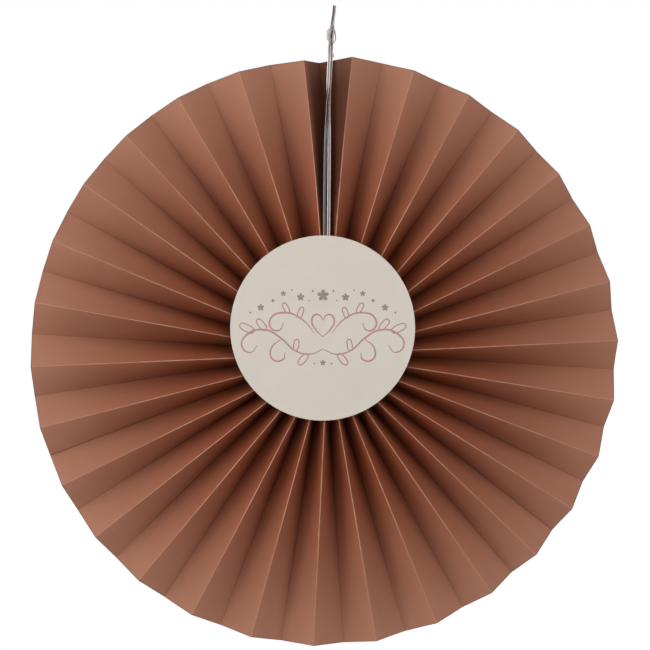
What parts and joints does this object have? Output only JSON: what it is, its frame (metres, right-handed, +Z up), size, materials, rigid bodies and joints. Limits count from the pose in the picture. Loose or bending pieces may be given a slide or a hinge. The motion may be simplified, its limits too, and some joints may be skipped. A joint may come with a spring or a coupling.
{
  "type": "hanging paper fan rosette",
  "caption": "Round pleated paper rosette with a printed card disc at its middle, hung from a doubled flat string with a small loop.",
  "frame": {"origin": "middle of the back disc's rear face, on the axis of the hub", "axes": "+Z up towards the hanging loop, front with the printed disc faces -Y, +Y into the wall it hangs on, +X to the right as seen from the front"},
  "size_m": [0.3996, 0.0292, 0.4363],
  "materials": {
    "pleated_paper": "matt terracotta pink paper with paler worn creases",
    "printed_card": "matt warm white card, printed in rose and taupe",
    "plain_card": "matt warm white card, bare",
    "tape": "translucent double-sided tape",
    "adhesive": "milky craft adhesive",
    "string": "flat silvery grey ribbon string with a slight sheen"
  },
  "bodies": {
    "root": {"pleated_strip_right": "pleated_paper", "pleated_strip_lower": "pleated_paper", "pleated_strip_left": "pleated_paper", "joint_tape_right": "tape", "joint_tape_left": "tape", "joint_tape_top": "tape", "front_disc": "printed_card", "front_adhesive": "adhesive", "back_adhesive": "adhesive", "back_disc": "plain_card", "hanging_string": "string", "string_knot": "string"}
  },
  "joints": []
}
